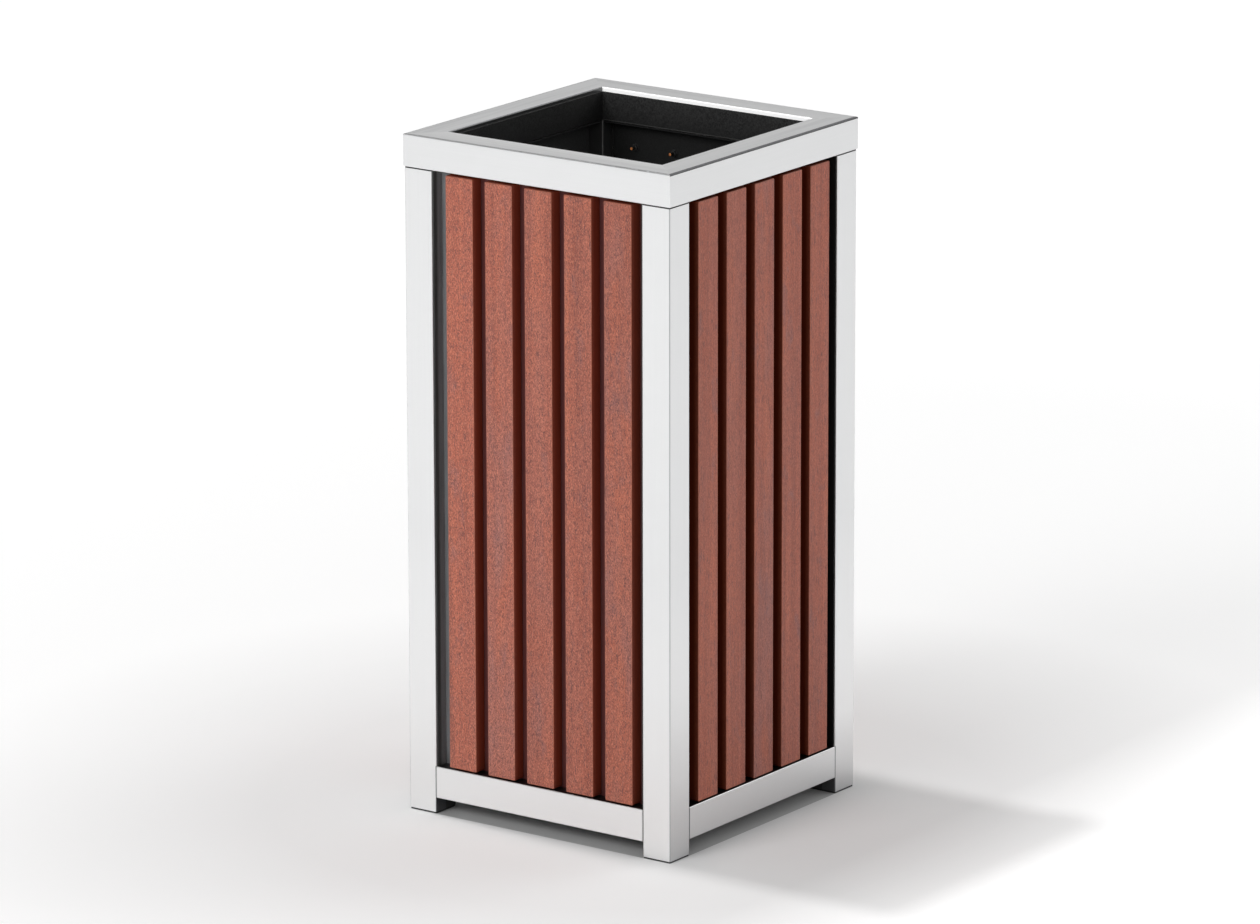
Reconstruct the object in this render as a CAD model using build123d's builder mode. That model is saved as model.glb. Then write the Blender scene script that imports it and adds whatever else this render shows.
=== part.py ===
from build123d import *
import os
from math import cos, radians, sin

os.makedirs("parts", exist_ok=True)

# A square litter bin: a tube housing clad with wooden laths, a hinged top frame and a lift-out liner.
# Millimetres. The origin is the middle of the footprint at ground level, and the front faces -Y.

# ---- Driving dimensions ----
height = 840
frame_side = 390  # the top frame, outside to outside
frame_proud = 1  # how far the top frame stands outside the posts
tube = 40  # square tube of the posts, rails and top frame
tube_wall = 2
tube_corner = 1.5
seam = 1.5  # the gap between posts and top frame, filled by the post caps
foot_flange = 2
plug_depth = 20  # foot plugs and post caps inside their tubes
plug_margin = 0.5  # plug and cap flanges inside the tube's outline
plug_fit = 0.1
plug_corner = 1.5
cap_corner = 1
rail_underside = 20

sheet = 1.5  # backing panels
panel_fit = 0.25  # gap between a panel and the posts beside it
panel_bend = 2
flange_recess = 2  # panel side flanges behind the post fronts
ledge_gap = 1.5  # panel top ledge short of the posts' inner faces

lath_count = 5  # on each side of the bin
lath_width = 40
lath_thickness = 18
lath_pitch = 58
lath_corner = 1.2
lath_end_chamfer = 0.8
lath_recess = 1  # lath fronts behind the post fronts
lath_shift = 2  # lath field off the middle of its side, the same way round on all four sides
lath_end_gaps = (2, 2.5)  # over the lower rail, and below the top frame seam

stud = 4  # threaded studs hold the laths, with nuts inside the bin
stud_rows = 3
stud_inset = 30  # outer stud rows to the lath ends
stud_stagger = 12  # rows on the right and left sides, below those at front and back
stud_bite = 13  # length inside the lath
stud_end = 10  # length inside the panel
stud_chamfer = 0.4
nut_flats = 7
nut_height = 4
nut_flange = 10
nut_flange_height = 1.2
hole_clearance = 0.3  # radial, round a fastener in sheet metal
running_gap = 0.05  # radial gap of pilot holes and of every turning fit

collar_height = 35  # from the underside of the top frame
collar_sheet = 2
collar_fit = 0.1
collar_corner = 3

base_sheet = 3
base_gap = 0.5  # between the base plate and the panels and posts round it
base_screw_shank = 4.8
base_screw_socket = 3
base_screw_head = 9
base_screw_head_height = 3
base_screw_dome = 1.4
anchor_spacing = 220
anchor_hole = 11
sleeve_wall = 4
drain_hole = 14

liner_side = 296
liner_top = 735
liner_sheet = 1.2
liner_corner = 8
liner_drain = 8
rim_height = 20
rim_fold = 2  # thickness of the folded rim band outside the liner wall
rim_corner = 1.2

handle_rod = 8
handle_reach = 130  # pivot to grip
handle_arm = 138  # middle plane to the middle of an arm
pivot_height = 705
stub_bend = 4.6  # bend radii of the handle rod
grip_bend = 18
stub_length = 1.2  # pivot stub outside the liner wall
grip_length = 110
grip_diameter = 16
grip_corner = 3

ear_sheet = 3
ear_width = 42
ear_height = 26
ear_corner = 6
ear_rivet_spacing = 26
rest_sheet = 2
rest_width = 20
rest_reach = 23
rest_height = 26
rest_spacing = 180
rest_drop = 20  # handle rest rivets below the pivot height
rest_gap = 0.1  # between a rest and the folded handle
rivet_shank = 4.8
rivet_fit = 0.1
rivet_head = 9.5
rivet_head_height = 1.2

hinge_inset = 5  # hinge middle inboard of the middle of its post
hinge_barrel = 12
hinge_offset = 1.5  # barrel clear of the post's back
hinge_width = 28
hinge_middle = 9  # length of the middle knuckle
hinge_gap = 0.5  # between knuckles
hinge_pin = 6
pin_fit = 0.02
pin_head_flange = 1.5
pin_head_height = 1.5
pin_head_taper = 20
leaf = 3
leaf_height = 24
frame_open = 100  # degrees at which the hinge stops the top frame
stop_reach = 12  # the stop fin's tip to the hinge axis

# ---- Derived dimensions ----
frame_half = frame_side / 2
body_half = frame_half - frame_proud
frame_base = height - tube
post_top = frame_base - seam
rail_top = rail_underside + tube
post_middle = body_half - tube / 2
post_inner = body_half - tube
bay = 2 * post_inner  # clear width between two posts
lath_back = body_half - lath_recess - lath_thickness
lath_bottom = rail_top + lath_end_gaps[0]
lath_top = post_top - lath_end_gaps[1]
lath_length = lath_top - lath_bottom
lath_middle = (lath_top + lath_bottom) / 2
stud_pitch = (lath_length - 2 * stud_inset) / (stud_rows - 1)
panel_back = lath_back - sheet
base_top = rail_top + base_sheet
liner_half = liner_side / 2
liner_wall = liner_half - liner_sheet  # middle plane to the inside of a liner wall
hinge_x = post_middle - hinge_inset
barrel_y = body_half + hinge_barrel / 2 + hinge_offset
barrel_z = post_top + seam / 2

SIDES = ["front", "right", "back", "left"]  # in order round the bin, a quarter turn apart


def save(piece, name):
    """Label a finished piece and write it under its name."""
    piece.part.label = name
    export_step(piece.part, f"parts/{name}.step")


def side_plane(turn, distance):
    """The upright plane facing outward on one side of the bin, at a distance from the middle."""
    angle = 90 * turn
    across = Vector(1, 0, 0).rotate(Axis.Z, angle)
    outward = Vector(0, -1, 0).rotate(Axis.Z, angle)
    return Plane(origin=outward * distance, x_dir=across, z_dir=outward)


def plan_plane(turn, level):
    """The level plane turned with one side of the bin, whose local -Y points outward."""
    across = Vector(1, 0, 0).rotate(Axis.Z, 90 * turn)
    return Plane(origin=(0, 0, level), x_dir=across, z_dir=(0, 0, 1))


def stud_level(turn):
    """The height of the middle stud row on one side of the bin."""
    return lath_middle - stud_stagger * (turn % 2)


def across_axis(turn):
    """The axis that runs along one side of the bin."""
    return Axis((0, 0, 0), side_plane(turn, 0).x_dir)


def outward_axis(turn):
    """The axis that points out of one side of the bin."""
    return Axis((0, 0, 0), side_plane(turn, 0).z_dir)


# ---- Posts ----
def make_post(x, y):
    """A square tube standing on its foot plug and closed by its cap."""
    with BuildPart() as post:
        with BuildSketch(Plane.XY.offset(foot_flange)):
            with Locations((x, y)):
                RectangleRounded(tube, tube, tube_corner)
                Rectangle(tube - 2 * tube_wall, tube - 2 * tube_wall, mode=Mode.SUBTRACT)
        extrude(amount=post_top - foot_flange)
    return post


POST_CORNERS = {
    "post_front_left": (-post_middle, -post_middle),
    "post_front_right": (post_middle, -post_middle),
    "post_back_right": (post_middle, post_middle),
    "post_back_left": (-post_middle, post_middle),
}
for name, (x, y) in POST_CORNERS.items():
    save(make_post(x, y), name)


# ---- Foot plugs and post caps ----
plug_side = tube - 2 * tube_wall - 2 * plug_fit
plug_flange = tube - 2 * plug_margin

with BuildPart() as foot_plugs:
    with BuildSketch(Plane.XY):
        with GridLocations(2 * post_middle, 2 * post_middle, 2, 2):
            RectangleRounded(plug_flange, plug_flange, plug_corner)
    extrude(amount=foot_flange)
    with BuildSketch(Plane.XY.offset(foot_flange)):
        with GridLocations(2 * post_middle, 2 * post_middle, 2, 2):
            Rectangle(plug_side, plug_side)
    extrude(amount=plug_depth)
save(foot_plugs, "foot_plugs")

with BuildPart() as post_caps:
    with BuildSketch(Plane.XY.offset(post_top)):
        with GridLocations(2 * post_middle, 2 * post_middle, 2, 2):
            RectangleRounded(plug_flange, plug_flange, cap_corner)
    extrude(amount=seam)
    with BuildSketch(Plane.XY.offset(post_top)):
        with GridLocations(2 * post_middle, 2 * post_middle, 2, 2):
            Rectangle(plug_side, plug_side)
    extrude(amount=-plug_depth)
save(post_caps, "post_caps")


# ---- Lower rails ----
base_screw_out = (panel_back + post_inner) / 2  # the base screws stand in the rails' inner ledge


def make_rail(turn):
    """A square tube between two posts, with the pilot hole of its base plate screw."""
    with BuildPart() as rail:
        with BuildSketch(side_plane(turn, post_inner)):
            with Locations((0, rail_underside + tube / 2)):
                Rectangle(bay, tube)
        extrude(amount=tube)
        fillet(rail.edges().filter_by(across_axis(turn)), tube_corner)
        with BuildSketch(side_plane(turn, post_inner + tube_wall)):
            with Locations((0, rail_underside + tube / 2)):
                Rectangle(bay, tube - 2 * tube_wall)
        extrude(amount=tube - 2 * tube_wall, mode=Mode.SUBTRACT)
        with BuildSketch(plan_plane(turn, rail_top)):
            with Locations((0, -base_screw_out)):
                Circle(base_screw_shank / 2 + running_gap)
        extrude(amount=-2 * tube_wall, mode=Mode.SUBTRACT)
    return rail


for turn, side in enumerate(SIDES):
    save(make_rail(turn), f"rail_{side}")


# ---- Backing panels ----
panel_width = bay - 2 * panel_fit
panel_height = post_top - 2 * panel_fit - rail_top
flange_out = body_half - flange_recess - panel_back
ledge_in = panel_back - post_inner - ledge_gap  # the top ledge reaches in under the top frame


def make_panel(turn):
    """A folded tray: side flanges outward along the posts, and a top ledge inward."""
    with BuildPart() as panel:
        with BuildSketch(side_plane(turn, panel_back)):
            with Locations((0, rail_top + panel_height / 2)):
                Rectangle(panel_width, panel_height)
        extrude(amount=flange_out)
        fillet(panel.edges().filter_by(Axis.Z).group_by(outward_axis(turn))[0], panel_bend)
        with BuildSketch(side_plane(turn, lath_back)):
            with Locations((0, rail_top + panel_height / 2)):
                Rectangle(panel_width - 2 * sheet, panel_height)
        extrude(amount=flange_out, mode=Mode.SUBTRACT)
        with BuildSketch(side_plane(turn, panel_back)):
            with Locations((0, rail_top + panel_height - sheet / 2)):
                Rectangle(panel_width - 2 * panel_bend, sheet)
        extrude(amount=-ledge_in)
        with BuildSketch(side_plane(turn, panel_back)):
            with Locations((lath_shift, stud_level(turn))):
                with GridLocations(lath_pitch, stud_pitch, lath_count, stud_rows):
                    Circle(stud / 2 + hole_clearance)
        extrude(amount=sheet, mode=Mode.SUBTRACT)
    return panel


for turn, side in enumerate(SIDES):
    save(make_panel(turn), f"panel_{side}")


# ---- Laths ----
def make_lath(turn, across):
    """A planed lath with rounded long edges, eased ends and blind stud holes in its back."""
    with BuildPart() as lath:
        with BuildSketch(side_plane(turn, lath_back)):
            with Locations((across, lath_middle)):
                Rectangle(lath_width, lath_length)
        extrude(amount=lath_thickness)
        fillet(lath.edges().filter_by(Axis.Z), lath_corner)
        chamfer(lath.faces().filter_by(Axis.Z).edges(), lath_end_chamfer)
        with BuildSketch(side_plane(turn, lath_back)):
            with Locations((across, stud_level(turn))):
                with GridLocations(0, stud_pitch, 1, stud_rows):
                    Circle(stud / 2 + running_gap)
        extrude(amount=stud_bite + 1, mode=Mode.SUBTRACT)
    return lath


for turn, side in enumerate(SIDES):
    for number in range(lath_count):
        across = lath_shift + (number - (lath_count - 1) / 2) * lath_pitch
        save(make_lath(turn, across), f"lath_{side}_{number + 1}")


# ---- Lath studs and their nuts ----
with BuildPart() as lath_studs:
    for turn in range(len(SIDES)):
        with BuildSketch(side_plane(turn, panel_back - stud_end)):
            with Locations((lath_shift, stud_level(turn))):
                with GridLocations(lath_pitch, stud_pitch, lath_count, stud_rows):
                    Circle(stud / 2)
        extrude(amount=stud_end + sheet + stud_bite)
        tips = lath_studs.edges().filter_by_position(
            outward_axis(turn), panel_back - stud_end - running_gap, panel_back - stud_end + running_gap
        )
        chamfer(tips, stud_chamfer)
save(lath_studs, "lath_studs")

with BuildPart() as lath_nuts:
    for turn in range(len(SIDES)):
        with BuildSketch(side_plane(turn, panel_back)):
            with Locations((lath_shift, stud_level(turn))):
                with GridLocations(lath_pitch, stud_pitch, lath_count, stud_rows):
                    Circle(nut_flange / 2)
        extrude(amount=-nut_flange_height)
        with BuildSketch(side_plane(turn, panel_back)):
            with Locations((lath_shift, stud_level(turn))):
                with GridLocations(lath_pitch, stud_pitch, lath_count, stud_rows):
                    RegularPolygon(nut_flats / 2, 6, major_radius=False)
        extrude(amount=-nut_height)
        with BuildSketch(side_plane(turn, panel_back)):
            with Locations((lath_shift, stud_level(turn))):
                with GridLocations(lath_pitch, stud_pitch, lath_count, stud_rows):
                    Circle(stud / 2 + running_gap)
        extrude(amount=-nut_height, mode=Mode.SUBTRACT)
save(lath_nuts, "lath_nuts")


# ---- Base plate, its screws and the anchor sleeves ----
base_half = panel_back - base_gap
notch = base_half - post_inner + base_gap  # clears a post at each corner

with BuildPart() as base_plate:
    with BuildSketch(Plane.XY.offset(rail_top)):
        Rectangle(2 * base_half, 2 * base_half)
        with GridLocations(2 * base_half - notch, 2 * base_half - notch, 2, 2):
            Rectangle(notch, notch, mode=Mode.SUBTRACT)
        with GridLocations(anchor_spacing, anchor_spacing, 2, 2):
            Circle(anchor_hole / 2, mode=Mode.SUBTRACT)
        with GridLocations(anchor_spacing / 2, anchor_spacing / 2, 2, 2):
            Circle(drain_hole / 2, mode=Mode.SUBTRACT)
        Circle(drain_hole / 2, mode=Mode.SUBTRACT)
        with PolarLocations(base_screw_out, 4):
            Circle(base_screw_shank / 2 + hole_clearance, mode=Mode.SUBTRACT)
    extrude(amount=base_sheet)
save(base_plate, "base_plate")

with BuildPart() as base_plate_screws:
    with BuildSketch(Plane.XY.offset(base_top)):
        with PolarLocations(base_screw_out, 4):
            Circle(base_screw_head / 2)
    extrude(amount=base_screw_head_height)
    fillet(base_plate_screws.edges().group_by(Axis.Z)[-1], base_screw_dome)
    with BuildSketch(Plane.XY.offset(base_top + base_screw_head_height)):
        with PolarLocations(base_screw_out, 4):
            RegularPolygon(base_screw_socket / 2, 6)
    extrude(amount=-base_screw_head_height / 2, mode=Mode.SUBTRACT)
    with BuildSketch(Plane.XY.offset(base_top)):
        with PolarLocations(base_screw_out, 4):
            Circle(base_screw_shank / 2)
    extrude(amount=-(base_sheet + 2 * tube_wall))
save(base_plate_screws, "base_plate_screws")

with BuildPart() as anchor_sleeves:
    with BuildSketch(Plane.XY):
        with GridLocations(anchor_spacing, anchor_spacing, 2, 2):
            Circle(anchor_hole / 2 + sleeve_wall)
            Circle(anchor_hole / 2, mode=Mode.SUBTRACT)
    extrude(amount=rail_top)
save(anchor_sleeves, "anchor_sleeves")


# ---- Top frame ----
def mitred_strip(outer, inner):
    """A sketch strip along one side of a square ring, cut at 45 degrees at both corners."""
    Polygon((-outer, -outer), (outer, -outer), (inner, -inner), (-inner, -inner), align=None)


def make_frame_tube(turn):
    """One side of the top frame: a square tube mitred at both ends."""
    with BuildPart() as bar:
        with BuildSketch(plan_plane(turn, frame_base)):
            mitred_strip(frame_half, frame_half - tube)
        extrude(amount=tube)
        fillet(bar.edges().filter_by(across_axis(turn)), tube_corner)
        with BuildSketch(plan_plane(turn, frame_base + tube_wall)):
            mitred_strip(frame_half - tube_wall, frame_half - tube + tube_wall)
        extrude(amount=tube - 2 * tube_wall, mode=Mode.SUBTRACT)
    return bar


for turn, side in enumerate(SIDES):
    save(make_frame_tube(turn), f"frame_{side}")

collar_side = frame_side - 2 * tube - 2 * collar_fit

with BuildPart() as inner_collar:
    with BuildSketch(Plane.XY.offset(frame_base)):
        RectangleRounded(collar_side, collar_side, collar_corner)
        offset(amount=-collar_sheet, mode=Mode.SUBTRACT)
    extrude(amount=collar_height)
save(inner_collar, "inner_collar")


# ---- Top frame hinges ----
def hinge_plane(x):
    """The upright plane across the hinge axis, with local X along +Y and local Y up."""
    return Plane(origin=(x, 0, 0), x_dir=(0, 1, 0), z_dir=(1, 0, 0))


def box_between(low, high):
    """A sketch rectangle given by two opposite corners."""
    with Locations(((low[0] + high[0]) / 2, (low[1] + high[1]) / 2)):
        Rectangle(high[0] - low[0], high[1] - low[1])


def make_body_leaf(x):
    """The lower hinge leaf, on the back of a post, with the two outer knuckles."""
    radius = hinge_barrel / 2
    with BuildPart() as body_leaf:
        with BuildSketch(hinge_plane(x)):
            box_between((body_half, barrel_z - leaf_height), (body_half + leaf, barrel_z))
            box_between((body_half, barrel_z - radius), (barrel_y, barrel_z))
            with Locations((barrel_y, barrel_z)):
                Circle(radius)
        extrude(amount=hinge_width / 2, both=True)
        with BuildSketch(hinge_plane(x)):
            box_between(
                (body_half, barrel_z - radius - hinge_gap), (barrel_y + radius, barrel_z + radius)
            )
        extrude(amount=hinge_middle / 2 + hinge_gap, both=True, mode=Mode.SUBTRACT)
        with BuildSketch(hinge_plane(x)):
            with Locations((barrel_y, barrel_z)):
                Circle(hinge_pin / 2 + pin_fit)
        extrude(amount=hinge_width, both=True, mode=Mode.SUBTRACT)
    return body_leaf


def stop_half_thickness():
    """Half the stop fin's thickness, so that its side meets the lower leaf at frame_open."""
    past_down = radians(frame_open - 90)
    room = barrel_y - body_half - leaf
    return (room - stop_reach * sin(past_down)) / cos(past_down) - running_gap


def make_frame_leaf(x):
    """The upper hinge leaf, on the back of the top frame, with the middle knuckle and stop fin."""
    radius = hinge_barrel / 2
    fin = stop_half_thickness()
    with BuildPart() as frame_leaf:
        with BuildSketch(hinge_plane(x)):
            box_between(
                (frame_half, barrel_z + radius), (frame_half + leaf, barrel_z + radius + leaf_height)
            )
        extrude(amount=hinge_width / 2, both=True)
        with BuildSketch(hinge_plane(x)):
            box_between((frame_half, barrel_z), (barrel_y, barrel_z + radius + leaf))
            box_between((barrel_y, barrel_z - fin), (barrel_y + stop_reach, barrel_z + fin))
            with Locations((barrel_y, barrel_z)):
                Circle(radius)
        extrude(amount=hinge_middle / 2, both=True)
        with BuildSketch(hinge_plane(x)):
            with Locations((barrel_y, barrel_z)):
                Circle(hinge_pin / 2 + running_gap)
        extrude(amount=hinge_width, both=True, mode=Mode.SUBTRACT)
    return frame_leaf


for side, x in {"left": -hinge_x, "right": hinge_x}.items():
    save(make_body_leaf(x), f"hinge_{side}_body_leaf")
    save(make_frame_leaf(x), f"hinge_{side}_frame_leaf")

with BuildPart() as hinge_pins:
    for x in (-hinge_x, hinge_x):
        with BuildSketch(hinge_plane(x)):
            with Locations((barrel_y, barrel_z)):
                Circle(hinge_pin / 2)
        extrude(amount=hinge_width / 2, both=True)
        for end in (-1, 1):
            with BuildSketch(hinge_plane(x + end * hinge_width / 2)):
                with Locations((barrel_y, barrel_z)):
                    Circle(hinge_pin / 2 + pin_head_flange)
            extrude(amount=end * pin_head_height, taper=pin_head_taper)
save(hinge_pins, "hinge_pins")


# ---- Liner ----
rim_side = liner_side + 2 * rim_fold

with BuildPart() as liner:
    with BuildSketch(Plane.XY.offset(base_top)):
        RectangleRounded(liner_side, liner_side, liner_corner)
    extrude(amount=liner_top - base_top)
    with BuildSketch(Plane.XY.offset(liner_top - rim_height)):
        RectangleRounded(rim_side, rim_side, liner_corner + rim_fold)
    extrude(amount=rim_height)
    fillet(liner.edges().group_by(Axis.Z)[-1], rim_corner)
    with BuildSketch(Plane.XY.offset(base_top + liner_sheet)):
        RectangleRounded(2 * liner_wall, 2 * liner_wall, liner_corner - liner_sheet)
    extrude(amount=liner_top - base_top, mode=Mode.SUBTRACT)
    with BuildSketch(Plane.XY.offset(base_top)):
        with GridLocations(liner_half, liner_half, 2, 2):
            Circle(liner_drain / 2)
    extrude(amount=liner_sheet, mode=Mode.SUBTRACT)
    with BuildSketch(Plane.YZ.offset(-liner_side)):
        with Locations((0, pivot_height)):
            Circle(handle_rod / 2 + running_gap)
            with GridLocations(ear_rivet_spacing, 0, 2, 1):
                Circle(rivet_shank / 2 + rivet_fit)
    extrude(amount=2 * liner_side, mode=Mode.SUBTRACT)
    with BuildSketch(Plane.XZ.offset(-liner_side)):
        with Locations((0, pivot_height - rest_drop)):
            with GridLocations(rest_spacing, 0, 2, 1):
                Circle(rivet_shank / 2 + rivet_fit)
    extrude(amount=2 * liner_side, mode=Mode.SUBTRACT)
save(liner, "liner")


# ---- Handle ears, handle rests and their rivets ----
with BuildPart() as handle_ears:
    for facing in (-1, 1):
        with BuildSketch(Plane.YZ.offset(facing * liner_wall)):
            with Locations((0, pivot_height)):
                RectangleRounded(ear_width, ear_height, ear_corner)
                Circle(handle_rod / 2 + running_gap, mode=Mode.SUBTRACT)
                with GridLocations(ear_rivet_spacing, 0, 2, 1):
                    Circle(rivet_shank / 2 + rivet_fit, mode=Mode.SUBTRACT)
        extrude(amount=-facing * ear_sheet)
save(handle_ears, "handle_ears")

rest_top = pivot_height - handle_rod / 2 - rest_gap

with BuildPart() as handle_rests:
    for facing in (-1, 1):
        for x in (-rest_spacing / 2, rest_spacing / 2):
            with BuildSketch(hinge_plane(x)):
                box_between(
                    (facing * liner_wall, rest_top - rest_height),
                    (facing * (liner_wall - rest_sheet), rest_top),
                )
                box_between(
                    (facing * liner_wall, rest_top - rest_sheet),
                    (facing * (liner_wall - rest_reach), rest_top),
                )
            extrude(amount=rest_width / 2, both=True)
    with BuildSketch(Plane.XZ.offset(-liner_side)):
        with Locations((0, pivot_height - rest_drop)):
            with GridLocations(rest_spacing, 0, 2, 1):
                Circle(rivet_shank / 2 + rivet_fit)
    extrude(amount=2 * liner_side, mode=Mode.SUBTRACT)
save(handle_rests, "handle_rests")


RIVET_ROWS = (
    (1, pivot_height, ear_rivet_spacing, ear_sheet),
    (3, pivot_height, ear_rivet_spacing, ear_sheet),
    (0, pivot_height - rest_drop, rest_spacing, rest_sheet),
    (2, pivot_height - rest_drop, rest_spacing, rest_sheet),
)  # side of the liner, level, spacing and the sheet riveted to the wall

with BuildPart() as liner_rivets:
    for turn, level, spacing, inner_sheet in RIVET_ROWS:
        stack = liner_sheet + inner_sheet
        stations = (
            (liner_half, rivet_head / 2, rivet_head_height),
            (liner_half - stack, rivet_shank / 2, stack),
            (liner_half - stack - rivet_head_height, rivet_head / 2, rivet_head_height),
        )
        for start, radius, length in stations:
            with BuildSketch(side_plane(turn, start)):
                with Locations((0, level)):
                    with GridLocations(spacing, 0, 2, 1):
                        Circle(radius)
            extrude(amount=length)
save(liner_rivets, "liner_rivets")


# ---- Liner handle ----
stub_end = liner_half + stub_length

with BuildPart() as liner_handle:
    with BuildLine() as handle_path:
        FilletPolyline(
            (-stub_end, 0, pivot_height),
            (-handle_arm, 0, pivot_height),
            (-handle_arm, handle_reach, pivot_height),
            (handle_arm, handle_reach, pivot_height),
            (handle_arm, 0, pivot_height),
            (stub_end, 0, pivot_height),
            radius=(stub_bend, grip_bend, grip_bend, stub_bend),
        )
    with BuildSketch(Plane(origin=(-stub_end, 0, pivot_height), z_dir=(1, 0, 0))):
        Circle(handle_rod / 2)
    sweep()
save(liner_handle, "liner_handle")

with BuildPart() as handle_grip:
    with BuildSketch(hinge_plane(-grip_length / 2)):
        with Locations((handle_reach, pivot_height)):
            Circle(grip_diameter / 2)
    extrude(amount=grip_length)
    fillet(handle_grip.edges(), grip_corner)
    with BuildSketch(hinge_plane(-grip_length / 2)):
        with Locations((handle_reach, pivot_height)):
            Circle(handle_rod / 2 + running_gap)
    extrude(amount=grip_length, mode=Mode.SUBTRACT)
save(handle_grip, "handle_grip")
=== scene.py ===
import math

import bpy
from mathutils import Matrix, Vector


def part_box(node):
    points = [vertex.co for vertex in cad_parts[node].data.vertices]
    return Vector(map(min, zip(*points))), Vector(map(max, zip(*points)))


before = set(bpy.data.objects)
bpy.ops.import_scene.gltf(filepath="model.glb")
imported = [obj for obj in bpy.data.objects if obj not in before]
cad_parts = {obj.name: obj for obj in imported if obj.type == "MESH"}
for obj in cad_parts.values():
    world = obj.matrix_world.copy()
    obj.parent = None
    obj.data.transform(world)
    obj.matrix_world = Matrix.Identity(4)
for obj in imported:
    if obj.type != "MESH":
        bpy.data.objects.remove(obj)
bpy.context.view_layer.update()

# ---- Pieces, and places taken from them, in metres ----
SIDES = ("front", "right", "back", "left")
LATHS = 5
POSTS = ("post_front_left", "post_front_right", "post_back_right", "post_back_left")

post_out = -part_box("post_front_left")[0][1]  # middle of the bin to the outer faces of the posts
post_in = -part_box("post_front_left")[1][1]  # middle of the bin to the inner faces of the posts
ring_out = -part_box("frame_front")[0][1]
ring_in = -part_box("frame_front")[1][1]
ring_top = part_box("frame_front")[1][2]
ring_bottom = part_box("frame_front")[0][2]
rail_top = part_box("rail_front")[1][2]
lath_front = -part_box("lath_front_1")[0][1]
lath_back = -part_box("lath_front_1")[1][1]
stud_tip = min(max(abs(v.co.x), abs(v.co.y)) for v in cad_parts["lath_studs"].data.vertices)

# ---- Looks shared by several materials ----
HAIR = 0.0002  # metres; places closer than this count as the same
METALLIC = 0.85  # of clean satin steel
LINE = (0.26, 0.27, 0.28)  # the tone of the fine dark lines along steel: painted shade on rounded corners and edges, and the dark joint line where a rail meets a post
EDGE_SHADE = (0.11, 0.11, 0.115)  # the tone of the painted shade line along the top frame's outer top edge
# PALE is the tone of the painted highlights on the top frame.
PALE = (0.97, 0.97, 0.97)
# NEAR_BLACK is the tone of the painted shade on the black coat.
NEAR_BLACK = (0.004, 0.004, 0.004)
GAP_SHADE_TONES = ((0.255, 0.050, 0.027), (0.100, 0.016, 0.006))  # painted shade deep between laths, for the front and back laths and for the side laths

# The top frame by side: strength of its painted shade line along the outer edge, how far down the edge that
# line reaches in metres, how far its top is painted with a pale highlight, and whether its inner face is
# painted lit, pale and glowing.
RING_LOOKS = {
    "front": (0.50, 0.0009, 0.90, 0.0),
    "right": (1.00, 0.0021, 0.35, 0.0),
    "back": (0.15, 0.0021, 0.35, 1.0),
    "left": (0.15, 0.0021, 0.35, 0.0),
}


# ---- Node recipes ----
def fill_ramp(node, stops):
    """Sets a colour ramp's (position, colour) stops; a number stands for a grey."""
    band = node.color_ramp
    while len(band.elements) < len(stops):
        band.elements.new(0.5)
    for element, (position, colour) in zip(band.elements, stops):
        element.position = position
        element.color = (*colour, 1) if isinstance(colour, tuple) else (colour, colour, colour, 1)


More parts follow.
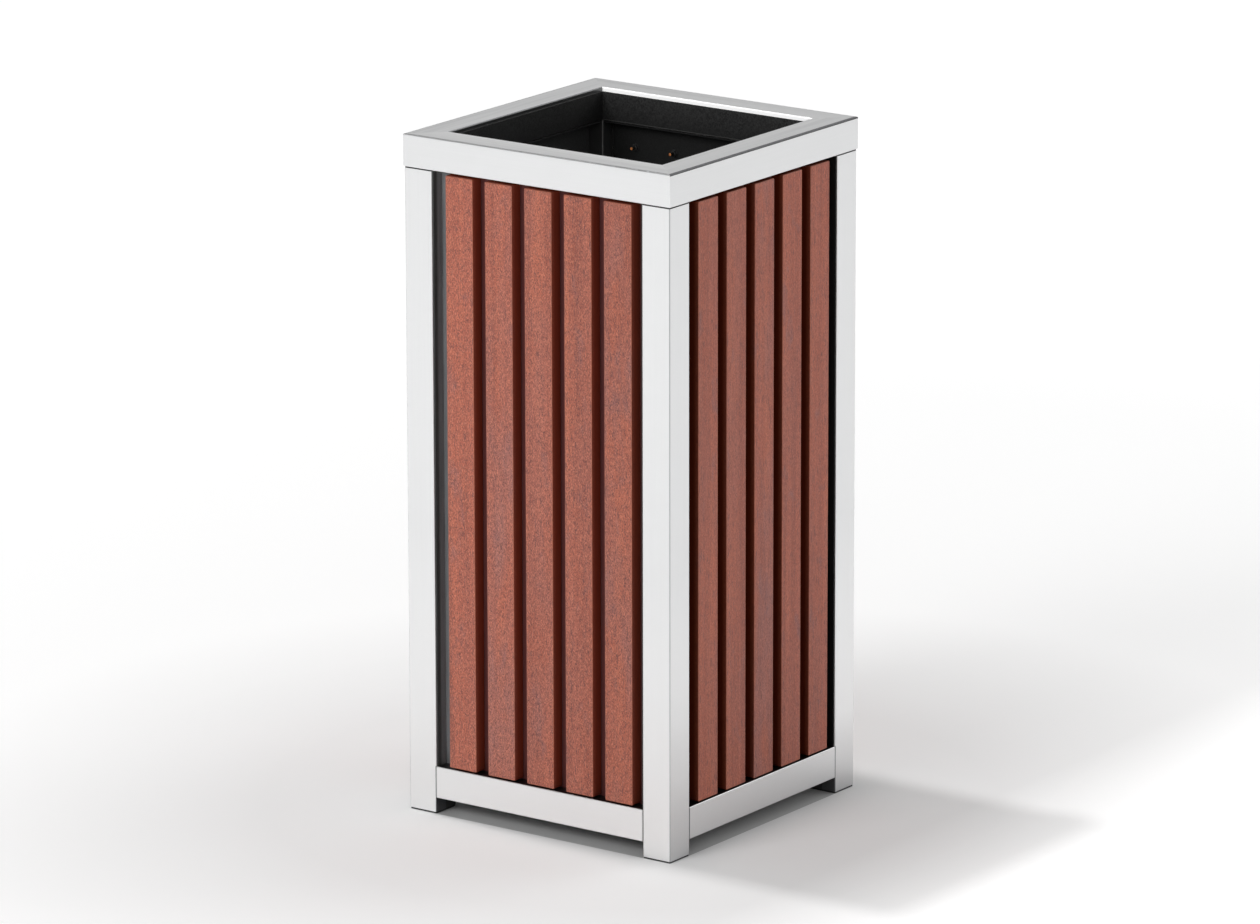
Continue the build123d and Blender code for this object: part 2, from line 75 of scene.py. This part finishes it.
class Recipe:
    """Builds one procedural material, with places in the shared frame, in metres."""

    def __init__(self, name):
        self.material = bpy.data.materials.new(name)
        self.material.use_nodes = True
        self.tree = self.material.node_tree
        self.shader = self.tree.nodes["Principled BSDF"]
        self.place = self.add("ShaderNodeTexCoord").outputs["Object"]

    def add(self, kind, inputs=None, **settings):
        node = self.tree.nodes.new(kind)
        for key, value in settings.items():
            setattr(node, key, value)
        for key, value in (inputs or {}).items():
            self.feed(node.inputs[key], value)
        return node

    def feed(self, socket, value):
        if isinstance(value, bpy.types.NodeSocket):
            self.tree.links.new(value, socket)
        else:
            socket.default_value = value

    def set(self, **values):
        """Feeds the shader's inputs, with underscores for the spaces in their names."""
        for key, value in values.items():
            self.feed(self.shader.inputs[key.replace("_", " ")], value)

    # Textures
    def mapped(self, scale, offset=(0, 0, 0)):
        inputs = {"Vector": self.place, "Scale": scale, "Location": offset}
        return self.add("ShaderNodeMapping", inputs).outputs["Vector"]

    def noise(self, vector, scale, detail=2.0, roughness=0.5, distortion=0.0):
        inputs = {"Vector": vector, "Scale": scale, "Detail": detail}
        inputs.update({"Roughness": roughness, "Distortion": distortion})
        return self.add("ShaderNodeTexNoise", inputs).outputs["Fac"]

    def wave(self, vector, scale, distortion=0.0, **settings):
        inputs = {"Vector": vector, "Scale": scale, "Distortion": distortion, "Detail": 2.0}
        return self.add("ShaderNodeTexWave", inputs, **settings).outputs["Fac"]

    # Colours and sums
    def ramp(self, factor, *stops):
        node = self.add("ShaderNodeValToRGB", {"Fac": factor})
        fill_ramp(node, stops)
        return node.outputs["Color"]

    def mix(self, factor, first, second):
        node = self.add("ShaderNodeMix", data_type="RGBA")
        sockets = (node.inputs[0], node.inputs[6], node.inputs[7])
        for socket, value in zip(sockets, (factor, first, second)):
            self.feed(socket, (*value, 1) if isinstance(value, tuple) and len(value) == 3 else value)
        return node.outputs[2]

    def calc(self, operation, first, second=0.0, third=0.0):
        node = self.add("ShaderNodeMath", operation=operation)
        for socket, value in zip(node.inputs, (first, second, third)):
            self.feed(socket, value)
        return node.outputs[0]

    def span(self, value, low, high, to_low=0.0, to_high=1.0):
        """Maps low..high onto to_low..to_high, and stops at both ends."""
        inputs = {"Value": value, "From Min": low, "From Max": high, "To Min": to_low, "To Max": to_high}
        return self.add("ShaderNodeMapRange", inputs).outputs["Result"]

    # Masks
    def above(self, value, limit):
        return self.calc("GREATER_THAN", value, limit)

    def below(self, value, limit):
        return self.calc("LESS_THAN", value, limit)

    def both(self, first, second):
        return self.calc("MULTIPLY", first, second)

    # Where a point is, and which way it faces
    def coordinate(self, letter):
        return self.add("ShaderNodeSeparateXYZ", {"Vector": self.place}).outputs[letter]

    def height(self):
        return self.coordinate("Z")

    def reach(self):
        """How far a point is from the middle of the bin, sideways, by its larger and smaller part."""
        x = self.calc("ABSOLUTE", self.coordinate("X"))
        y = self.calc("ABSOLUTE", self.coordinate("Y"))
        return self.calc("MAXIMUM", x, y), self.calc("MINIMUM", x, y)

    def facing(self):
        """How squarely a point faces along X, Y and Z, whichever way round."""
        normal = self.add("ShaderNodeTexCoord").outputs["Normal"]
        size = self.add("ShaderNodeVectorMath", {0: normal}, operation="ABSOLUTE").outputs["Vector"]
        return self.add("ShaderNodeSeparateXYZ", {"Vector": size}).outputs

    def rounding(self):
        """1 on the rounded edges of an upright, square part, and 0 on its flats."""
        x, y, z = self.facing()
        widest = self.calc("MAXIMUM", self.calc("MAXIMUM", x, y), z)
        return self.span(widest, 0.985, 0.90)

    def edges(self, radius):
        """1 on sharp edges and 0 on flats, from how much a bevel would turn the normal."""
        bevel = self.add("ShaderNodeBevel", {"Radius": radius}, samples=4).outputs["Normal"]
        flat = self.add("ShaderNodeNewGeometry").outputs["True Normal"]
        dot = self.add("ShaderNodeVectorMath", {0: bevel, 1: flat}, operation="DOT_PRODUCT")
        return self.span(dot.outputs["Value"], 0.995, 0.85)

    # Shader
    def bump(self, *layers):
        """Stacks (height, distance) layers of bump onto the shader."""
        normal = None
        for height, distance in layers:
            inputs = {"Height": height, "Distance": distance, "Strength": 1.0}
            if normal is not None:
                inputs["Normal"] = normal
            normal = self.add("ShaderNodeBump", inputs).outputs["Normal"]
        self.set(Normal=normal)

    def coat(self, mask, tone, over):
        """Sets the colour of steel that is uncovered where a mask is 0 and covered where it is 1; the cover
        is black coat on the posts, painted shadow on the rails and painted light on the top frame.
        """
        self.set(Base_Color=self.mix(mask, tone, over), Metallic=self.span(mask, 0, 1, METALLIC, 0))


# ---- Steel ----
def satin(name, axis):
    """Satin steel tube along an axis: a fine even grain, with brushing that shows on level faces; painted
    light lifts its lower upright faces, and painted shade darkens faces along X, most at their foot.
    """
    steel = Recipe(name)
    fine_lines = tuple(0.012 if i == axis else 1 for i in range(3))
    wide_lines = tuple(0.02 if i == axis else 1 for i in range(3))
    lines = steel.noise(steel.mapped(fine_lines), 900, 3, 0.6)
    bands = steel.noise(steel.mapped(wide_lines), 170, 3, 0.6)
    cloud = steel.noise(steel.place, 4, 3)
    grit = steel.noise(steel.place, 900, 3, 0.7)
    facing = steel.facing()
    height = steel.height()

    tone = steel.ramp(lines, (0.30, (0.822, 0.826, 0.830)), (0.70, (0.834, 0.838, 0.842)))
    brushed = steel.both(steel.span(bands, 0.46, 0.62), steel.span(facing["Z"], 0, 1, 0.03, 0.50))
    tone = steel.mix(brushed, tone, (0.60, 0.605, 0.61))
    tone = steel.mix(steel.span(cloud, 0.35, 0.70, 0, 0.10), tone, (0.83, 0.842, 0.842))
    tone = steel.mix(steel.span(grit, 0.45, 0.70, 0, 0.12), tone, (0.74, 0.745, 0.75))
    # painted light: the lower upright faces are lifted towards pale
    low = steel.both(steel.span(height, 0.35, 0.08), steel.calc("SUBTRACT", 1.0, facing["Z"]))
    tone = steel.mix(low, tone, (0.96, 0.96, 0.96))
    # painted shade: faces along X are a little darker
    tone = steel.mix(steel.calc("MULTIPLY", facing["X"], 0.05), tone, (0.66, 0.665, 0.675))
    # painted shade: the foot of faces along X darkens towards the floor
    foot = steel.both(steel.span(height, 0.10, 0.0, 0, 0.5), facing["X"])
    tone = steel.mix(foot, tone, (0.40, 0.40, 0.41))

    line_rough = steel.span(lines, 0.2, 0.8, 0.29, 0.31)
    grit_rough = steel.span(grit, 0.3, 0.7, -0.02, 0.02)
    steel.set(Roughness=steel.calc("ADD", line_rough, grit_rough))
    steel.bump((lines, 0.000004), (grit, 0.000006))
    return steel, tone


def lining_tone(coat, grit, paler):
    """The black that everything facing the liner is coated with, in a dark and a paler shade; the paler copy
    is painted light, and paler sets how much of it is used.
    """
    dark_shade = coat.ramp(grit, (0.3, 0.010), (0.75, 0.024))
    pale_shade = coat.ramp(grit, (0.3, 0.028), (0.75, 0.064))
    return coat.mix(paler, dark_shade, pale_shade)


def post_steel(name):
    """Posts have a fine painted shade line up their outer corner, painted shade on their inner faces below
    the rails, and are black where they face the liner, with painted light on that black and a painted
    highlight up the inner corner.
    """
    steel, tone = satin(name, 2)
    far, near = steel.reach()
    # painted shade: a fine dark line up the rounded outer corner
    corner = steel.both(steel.rounding(), steel.above(near, post_out - 0.003))
    tone = steel.mix(steel.calc("MULTIPLY", corner, 0.65), tone, LINE)
    inner_face = steel.below(near, post_in + 0.001)
    # painted shade: inner faces below the rails are darkened, as in the rails' shadow
    low_inner_face = steel.both(steel.below(steel.height(), rail_top), inner_face)
    tone = steel.mix(low_inner_face, tone, (0.14, 0.14, 0.145))
    grit = steel.noise(steel.place, 1000, 2)
    # painted highlight: a pale line up the rounded inner corner; the lining here uses its paler,
    # painted-light copy throughout
    lit_corner = steel.both(steel.rounding(), steel.below(far, post_in + 0.002))
    lining = steel.mix(lit_corner, lining_tone(steel, grit, 1.0), (0.19, 0.186, 0.182))
    steel.coat(steel.below(far, lath_back - HAIR), tone, lining)
    return steel.material


def ring_steel(side, axis):
    """Top frame tubes, with painted shade as a fine dark line along their outer and inner top edges, a
    painted pale highlight across their top, and inside, painted shade on faces along X and, where RING_LOOKS
    says lit, a painted pale strip that glows.
    """
    line, drop, highlight_reach, lit = RING_LOOKS[side]
    steel, tone = satin(f"satin_steel_ring_{side}", axis)
    far, _ = steel.reach()
    height = steel.height()

    # painted highlight: the top is painted pale across part of its width, most on the front
    across = steel.span(far, ring_out, ring_in)
    pale_top = steel.span(across, 0.35 - 0.4 * highlight_reach, 0.95, 0, highlight_reach)
    tone = steel.mix(steel.both(pale_top, steel.above(height, ring_top - HAIR)), tone, PALE)
    # painted shade: a dark line along the outer top edge
    outer_edge = steel.both(steel.above(height, ring_top - drop), steel.above(far, ring_out - 0.0035))
    tone = steel.mix(steel.calc("MULTIPLY", outer_edge, line), tone, EDGE_SHADE)
    # painted shade: a dark line along the inner top edge, except where the inner face is painted lit
    inner_edge = steel.both(steel.above(height, ring_top - 0.0016), steel.below(far, ring_in + 0.002))
    tone = steel.mix(steel.calc("MULTIPLY", inner_edge, 0.75 * (1 - lit)), tone, LINE)

    inner_face = steel.below(far, ring_in + 0.0014)
    # painted shade: inner faces along X are darkened
    dark = steel.both(inner_face, steel.calc("MULTIPLY", steel.facing()["X"], 0.85))
    tone = steel.mix(dark, tone, (0.05, 0.05, 0.05))
    # painted light: on the lit side the inner face is painted pale and glows
    strip = steel.both(inner_face, lit)
    steel.coat(strip, tone, PALE)
    steel.set(Emission_Color=(1, 1, 1, 1), Emission_Strength=steel.calc("MULTIPLY", strip, 0.45))
    return steel.material


def rail_steel(name, axis):
    """Rails have painted shadow, near black, on the top face under the laths, with a fine dark joint line at
    each post.
    """
    steel, tone = satin(name, axis)
    far, near = steel.reach()
    joint = steel.above(near, post_in - 0.001)
    tone = steel.mix(steel.calc("MULTIPLY", joint, 0.6), tone, LINE)
    top_face = steel.above(steel.height(), rail_top - 0.0005)
    # painted shadow: the top face under the laths is near black
    covered = steel.both(steel.below(far, lath_front - HAIR), top_face)
    steel.coat(covered, tone, (0.008, 0.008, 0.008))
    return steel.material


# ---- Wood ----
def planed_face(wood, offset, grey, flecks):
    """Stained upright grain with a grey bloom, smudges, and pale and dark flecks."""
    figure = wood.noise(wood.mapped((1, 1, 0.02), offset), 75, 3, 0.55, 0.4)
    fibres = wood.noise(wood.mapped((1, 1, 0.04), offset), 520, 3, 0.65)
    dashes = wood.noise(wood.mapped((1, 1, 0.16), offset), 520, 2, 0.5)
    bloom = wood.noise(wood.mapped((1, 1, 0.25), offset), 22, 4, 0.6, 0.3)
    smudge = wood.noise(wood.mapped((1, 1, 0.5), offset), 38, 3, 0.6, 0.5)
    specks = wood.noise(wood.mapped((1, 1, 0.4), offset), 900, 2, 0.7)
    pits = wood.noise(wood.mapped((1, 1, 0.4), offset), 1100, 1, 0.5)

    tone = wood.ramp(
        figure,
        (0.30, (0.385, 0.102, 0.064)),
        (0.50, (0.510, 0.138, 0.083)),
        (0.72, (0.600, 0.170, 0.096)),
    )
    tone = wood.mix(wood.span(bloom, 0.44, 0.66, 0, grey), tone, (0.390, 0.166, 0.145))
    tone = wood.mix(wood.span(smudge, 0.60, 0.72, 0, 0.55), tone, (0.270, 0.140, 0.145))
    tone = wood.mix(wood.span(fibres, 0.42, 0.70, 0, 0.30), tone, (0.310, 0.094, 0.066))
    tone = wood.mix(wood.span(dashes, 0.58, 0.66, 0, 0.65), tone, (0.170, 0.070, 0.066))
    tone = wood.mix(wood.span(specks, 0.50, 0.60, 0, 0.52 * flecks), tone, (0.840, 0.300, 0.185))
    tone = wood.mix(wood.span(pits, 0.54, 0.62, 0, 0.70 * flecks), tone, (0.140, 0.052, 0.046))

    rough = wood.calc("ADD", wood.span(fibres, 0.3, 0.8, 0.44, 0.60), wood.span(bloom, 0.4, 0.7, 0, 0.06))
    wood.set(Roughness=rough)
    wood.bump((figure, 0.0004), (fibres, 0.0002), (dashes, 0.00015))
    return tone


def end_grain(wood, offset):
    """Sawn ends: growth rings with dark pores."""
    rings = wood.wave(wood.mapped((1, 1, 0), offset), 55, 3.5, wave_type="RINGS")
    pores = wood.noise(wood.place, 1500, 2)
    tone = wood.mix(rings, (0.230, 0.062, 0.040), (0.340, 0.098, 0.060))
    return wood.mix(wood.span(pores, 0.50, 0.62, 0, 0.5), tone, (0.110, 0.036, 0.026))


def stained_wood(name, axis, seed, tone_shift, grey, flecks, gap_shade):
    """Softwood lath under a red-brown stain; it faces along one axis, its rounded edges have a painted
    highlight, and its sides have painted shade that darkens inward.
    """
    wood = Recipe(name)
    offset = (seed * 1.37, seed * 2.11, seed * 0.53)
    face = planed_face(wood, offset, grey, flecks)
    tone = wood.mix(wood.span(wood.facing()["Z"], 0.6, 0.9), face, end_grain(wood, offset))
    # painted highlight: rounded edges are lighter
    tone = wood.mix(wood.calc("MULTIPLY", wood.rounding(), 0.25), tone, (0.72, 0.26, 0.15))
    far, _ = wood.reach()
    # painted shade: the sides darken inward to the gap shade, with less sheen
    sideways = wood.span(wood.facing()[axis], 0.75, 0.30)
    shade = wood.both(sideways, wood.span(far, lath_front, lath_front - 0.007, 0.72, 1.0))
    inputs = {"Value": 0.96 + tone_shift, "Color": wood.mix(shade, tone, gap_shade)}
    tint = wood.add("ShaderNodeHueSaturation", inputs)
    wood.set(Base_Color=tint.outputs["Color"], Specular_IOR_Level=wood.span(shade, 0, 1, 0.42, 0.0))
    return wood.material


def lath_wood(turn, number):
    """Each lath has its own wood; on the front and back it gets a little darker along the row."""
    along_side = turn % 2
    seed = turn * LATHS + number
    shift = -0.09 if along_side else 0.03 * (3 - number) - 0.035
    grey = 0.50 + 0.35 * math.sin(4.1 * seed)
    flecks = 1.0 - 0.4 * along_side
    name = f"wood_{SIDES[turn]}_{number}"
    return stained_wood(name, 1 - along_side, seed, shift, grey, flecks, GAP_SHADE_TONES[along_side])


# ---- Coated sheet, plastic and small metal parts ----
def black_coat(name, low_line=None):
    """Fine-textured black powder coat with painted shade on faces along X; where a lower edge is given,
    painted shade darkens it towards that edge, and a painted highlight makes a thin pale line along it.
    """
    coat = Recipe(name)
    grit = coat.noise(coat.place, 480, 3, 0.75)
    cloud = coat.noise(coat.place, 14, 3)
    facing = coat.facing()
    tone = coat.ramp(grit, (0.36, 0.010), (0.66, 0.066))
    tone = coat.mix(coat.span(cloud, 0.4, 0.7, 0, 0.3), tone, (0.040, 0.039, 0.038))
    # painted shade: faces along X are darker
    tone = coat.mix(coat.calc("MULTIPLY", facing["X"], 0.40), tone, NEAR_BLACK)
    if low_line is not None:
        # painted shade: darker towards the lower edge
        lower = coat.span(coat.height(), low_line + 0.034, low_line, 0, 0.65)
        tone = coat.mix(lower, tone, NEAR_BLACK)
        # painted highlight: a thin pale line along the lower edge, on faces along Y
        rubbed = coat.both(coat.below(coat.height(), low_line + 0.0010), facing["Y"])
        tone = coat.mix(rubbed, tone, (0.065, 0.065, 0.063))
    coat.set(Base_Color=tone, Roughness=coat.span(cloud, 0.3, 0.7, 0.50, 0.60), Specular_IOR_Level=0.3)
    coat.bump((grit, 0.00012))
    return coat.material


def panel_coat(name, lit_strip_share):
    """Black-coated sheet: beside each post a paler strip with painted shade darkening towards the post,
    shown as far as the lit share says and painted near black as shade for the rest, and painted reddish
    light bounced off the laths in the lath gaps.
    """
    coat = Recipe(name)
    grit = coat.noise(coat.place, 1000, 2)
    streak = coat.noise(coat.mapped((1, 1, 0.05)), 300, 2)
    cloud = coat.noise(coat.place, 14, 3)
    far, near = coat.reach()
    across = coat.calc("SUBTRACT", post_out + post_in, coat.calc("ADD", far, near))  # in from the front
    # painted shade: the strip beside each post darkens towards the post; the lit share sets how much shows,
    # the rest is painted near black as shade
    post_strip = coat.ramp(
        coat.span(across, 0.0, 0.04),
        (0.22, (0.045, 0.046, 0.044)),
        (0.30, (0.220, 0.226, 0.232)),
        (0.55, (0.330, 0.342, 0.354)),
        (0.66, (0.270, 0.290, 0.298)),
    )
    post_strip = coat.mix(coat.span(streak, 0.35, 0.70, 0, 0.35), post_strip, (0.10, 0.104, 0.11))
    post_strip = coat.mix(coat.span(grit, 0.50, 0.70, 0, 0.35), post_strip, (0.08, 0.082, 0.084))
    post_strip = coat.mix(lit_strip_share, (0.006, 0.006, 0.006), post_strip)
    # painted light: reddish light bounced off the laths, in the lath gaps
    lath_bounce = coat.ramp(grit, (0.3, (0.120, 0.036, 0.034)), (0.75, (0.170, 0.052, 0.048)))
    shown = coat.mix(coat.span(across, 0.032, 0.034), post_strip, lath_bounce)
    # painted light: faces along X take the paler copy of the lining
    lining = lining_tone(coat, grit, coat.facing()["X"])
    tone = coat.mix(coat.above(far, lath_back - 0.0005), lining, shown)
    coat.set(Base_Color=tone, Roughness=coat.span(cloud, 0.3, 0.7, 0.46, 0.56), Specular_IOR_Level=0.3)
    coat.bump((grit, 0.00012))
    return coat.material


def stud_metal(name):
    """Blackened threaded studs, with yellow zinc showing on their cut ends."""
    metal = Recipe(name)
    grain = metal.noise(metal.place, 900, 2)
    thread = metal.wave(metal.place, 220, bands_direction="DIAGONAL")
    far, _ = metal.reach()
    dark = metal.mix(grain, (0.012, 0.011, 0.010), (0.030, 0.027, 0.024))
    yellow = metal.mix(grain, (0.80, 0.26, 0.07), (0.95, 0.36, 0.12))
    tone = metal.mix(metal.below(far, stud_tip + HAIR), dark, yellow)
    metal.set(Base_Color=tone, Roughness=metal.span(grain, 0.3, 0.7, 0.35, 0.55), Metallic=0.3)
    metal.bump((thread, 0.0002), (grain, 0.00004))
    return metal.material


def black_plastic(name):
    """Moulded black plastic with a fine spark-eroded grain."""
    plastic = Recipe(name)
    grain = plastic.noise(plastic.place, 2200, 2)
    cloud = plastic.noise(plastic.place, 40, 2)
    tone = plastic.mix(plastic.span(cloud, 0.3, 0.7, 0, 0.5), (0.018, 0.018, 0.018), (0.030, 0.030, 0.031))
    tone = plastic.mix(plastic.calc("MULTIPLY", plastic.edges(0.0006), 0.4), tone, (0.10, 0.10, 0.10))
    plastic.set(Base_Color=tone, Roughness=plastic.span(grain, 0.3, 0.7, 0.50, 0.66))
    plastic.bump((grain, 0.00008))
    return plastic.material


def galvanised(name):
    """Hot-dip galvanised sheet: large soft spangles with a fine haze."""
    zinc = Recipe(name)
    cells = zinc.add("ShaderNodeTexVoronoi", {"Vector": zinc.place, "Scale": 130, "Randomness": 1.0})
    shade = zinc.add("ShaderNodeSeparateColor", {"Color": cells.outputs["Color"]}).outputs["Red"]
    haze = zinc.noise(zinc.place, 30, 4)
    scratch = zinc.noise(zinc.mapped((1, 1, 0.03)), 300, 3)
    tone = zinc.mix(shade, (0.50, 0.52, 0.54), (0.66, 0.68, 0.70))
    tone = zinc.mix(zinc.span(haze, 0.4, 0.7, 0, 0.4), tone, (0.72, 0.73, 0.74))
    tone = zinc.mix(zinc.calc("MULTIPLY", zinc.edges(0.001), 0.4), tone, (0.75, 0.76, 0.77))
    rough = zinc.calc("ADD", zinc.span(shade, 0, 1, 0.34, 0.48), zinc.span(haze, 0.3, 0.7, -0.04, 0.06))
    zinc.set(Base_Color=tone, Metallic=0.75, Roughness=rough)
    zinc.bump((haze, 0.0001), (scratch, 0.00003))
    return zinc.material


def bright_metal(name, colour, roughness, metallic=1.0):
    """Small plated metal parts, with a little grain and rubbed edges."""
    metal = Recipe(name)
    grain = metal.noise(metal.place, 700, 3)
    cloud = metal.noise(metal.place, 90, 2)
    dark = tuple(0.72 * c for c in colour)
    tone = metal.mix(metal.span(cloud, 0.3, 0.7, 0, 0.6), colour, dark)
    light = tuple(min(1.0, 1.25 * c) for c in colour)
    tone = metal.mix(metal.calc("MULTIPLY", metal.edges(0.0005), 0.5), tone, light)
    rough = metal.span(grain, 0.3, 0.7, roughness - 0.06, roughness + 0.08)
    metal.set(Base_Color=tone, Metallic=metallic, Roughness=rough)
    metal.bump((grain, 0.00004))
    return metal.material


# ---- Painting the CAD pieces ----
def paint(node, material):
    """Puts one material on a CAD node and shades its rounded edges smooth."""
    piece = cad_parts[node]
    piece.data.materials.clear()
    piece.data.materials.append(material)
    for face in piece.data.polygons:
        face.use_smooth = True
    piece.data.set_sharp_from_angle(angle=math.radians(30))


def paint_all(nodes, material):
    for node in nodes:
        paint(node, material)


def paint_housing_and_frame():
    panels = [panel_coat("panel_coat_lit_strip", 1.0), panel_coat("panel_coat_black", 0.0)]
    rails = [rail_steel(f"satin_steel_rail_{letter}", axis) for axis, letter in enumerate("xy")]
    paint_all(POSTS, post_steel("satin_steel_posts"))
    for turn, side in enumerate(SIDES):
        axis = turn % 2
        paint(f"rail_{side}", rails[axis])
        paint(f"frame_{side}", ring_steel(side, axis))
        paint(f"panel_{side}", panels[axis])
        for number in range(1, LATHS + 1):
            paint(f"lath_{side}_{number}", lath_wood(turn, number))
    paint("inner_collar", black_coat("collar_coat", ring_bottom))


def paint_fittings_and_liner():
    paint("lath_studs", stud_metal("studs"))
    paint_all(("base_plate", "lath_nuts"), black_coat("black_coat"))
    paint_all(("foot_plugs", "post_caps", "handle_grip"), black_plastic("black_plastic"))
    paint_all(("anchor_sleeves", "liner", "handle_ears", "handle_rests"), galvanised("galvanised"))
    rod_steel = bright_metal("zinc_plate", (0.62, 0.63, 0.65), 0.30)
    paint_all(("base_plate_screws", "hinge_pins", "liner_handle"), rod_steel)
    paint("liner_rivets", bright_metal("rivet_aluminium", (0.78, 0.78, 0.79), 0.32))
    for side in ("left", "right"):
        for half in ("body", "frame"):
            leaf_steel = bright_metal(f"hinge_steel_{side}_{half}", (0.70, 0.71, 0.72), 0.34, 0.9)
            paint(f"hinge_{side}_{half}_leaf", leaf_steel)


# ---- Studio ----
def make_floor():
    """A wide pale floor that runs out past the picture, with a painted shadow under the bin, and a glow that
    lifts it to pure white away from the bin, partly as painted light that fades the bin's shadow.
    """
    half = 40
    mesh = bpy.data.meshes.new("floor")
    corners = [(-half, -half, 0), (half, -half, 0), (half, half, 0), (-half, half, 0)]
    mesh.from_pydata(corners, [], [(0, 1, 2, 3)])
    floor = bpy.data.objects.new("floor", mesh)
    bpy.context.scene.collection.objects.link(floor)

    finish = Recipe("pale_floor")
    far, _ = finish.reach()
    # painted shadow: the floor is darker under the bin's footprint
    shade = finish.mix(finish.below(far, post_out), (0.90, 0.90, 0.90), (0.55, 0.55, 0.55))
    finish.set(Base_Color=shade, Roughness=0.9, Specular_IOR_Level=0.0)
    away = finish.add("ShaderNodeVectorMath", {0: finish.place}, operation="LENGTH").outputs["Value"]
    beside = finish.coordinate("X")
    # painted light: the floor glows from 0.45 m out from the bin, and for the camera from 0.36 m out to its
    # right, fading the bin's shadow; far out it glows to pure white for the camera
    lift = finish.calc("ADD", finish.span(away, 0.45, 0.9, 0, 0.18), finish.span(away, 1.0, 3.0, 0, 0.12))
    fade = finish.calc("ADD", finish.span(beside, 0.36, 0.60, 0, 0.30), finish.span(away, 2.0, 6.0, 0, 0.20))
    seen = finish.add("ShaderNodeLightPath").outputs["Is Camera Ray"]
    glow = finish.calc("MULTIPLY_ADD", seen, fade, lift)
    finish.set(Emission_Color=(1, 1, 1, 1), Emission_Strength=glow)
    mesh.materials.append(finish.material)


def make_world():
    """A studio with a soft pale band all round, and white for the camera."""
    world = bpy.data.worlds.new("studio")
    bpy.context.scene.world = world
    world.use_nodes = True
    tree = world.node_tree
    coords = tree.nodes.new("ShaderNodeTexCoord")
    parts = tree.nodes.new("ShaderNodeSeparateXYZ")
    ramp = tree.nodes.new("ShaderNodeValToRGB")
    tree.links.new(coords.outputs["Generated"], parts.inputs[0])
    tree.links.new(parts.outputs["Z"], ramp.inputs["Fac"])
    fill_ramp(ramp, ((0.13, 0.0), (0.28, 0.697), (0.5, 0.938), (0.8, 0.0), (1.0, 0.302)))
    choose = tree.nodes.new("ShaderNodeMix")
    choose.data_type = "RGBA"
    seen = tree.nodes.new("ShaderNodeLightPath").outputs["Is Camera Ray"]
    tree.links.new(seen, choose.inputs[0])
    tree.links.new(ramp.outputs["Color"], choose.inputs[6])
    choose.inputs[7].default_value = (1, 1, 1, 1)
    tree.links.new(choose.outputs[2], tree.nodes["Background"].inputs["Color"])


def make_area_light(name, place, size, power):
    """A round soft light that points at the middle of the bin."""
    light = bpy.data.lights.new(name, "AREA")
    light.shape = "DISK"
    light.size = size
    light.energy = power
    lamp = bpy.data.objects.new(name, light)
    bpy.context.scene.collection.objects.link(lamp)
    lamp.location = place
    lamp.rotation_euler = (Vector((0, 0, 0.4)) - lamp.location).to_track_quat("-Z", "Y").to_euler()


def make_camera():
    """The camera stands off the front right corner, a little above the bin."""
    turn = math.radians(35.26)
    tilt = math.radians(14.21)
    distance = 9.736
    aside = 0.0739
    level = 0.5209
    pan = math.radians(0.449)
    nod = math.radians(0.556)
    back = Vector((math.sin(turn) * math.cos(tilt), -math.cos(turn) * math.cos(tilt), math.sin(tilt)))
    right = Vector((math.cos(turn), math.sin(turn), 0))
    data = bpy.data.cameras.new("camera")
    camera = bpy.data.objects.new("camera", data)
    bpy.context.scene.collection.objects.link(camera)
    camera.location = Vector((0, 0, level)) + back * distance + right * aside
    aim = back.to_track_quat("Z", "Y").to_matrix()
    aim = aim @ Matrix.Rotation(pan, 3, "Y") @ Matrix.Rotation(-nod, 3, "X")
    camera.rotation_euler = aim.to_euler()
    data.sensor_width = 36
    data.lens = 230.7
    data.clip_end = 200
    bpy.context.scene.camera = camera


paint_housing_and_frame()
paint_fittings_and_liner()
make_floor()
make_world()
make_area_light("overhead", (0.0, 0.0, 7.0), 0.5, 40)
make_area_light("high_left", (-2.1, -0.1, 6.6), 0.4, 118)
make_area_light("front", (-1.0, -6.0, 4.0), 3.0, 122)
make_area_light("back", (3.0, 5.0, 5.0), 4.0, 66)
make_camera()
bpy.context.scene.view_settings.view_transform = "Standard"
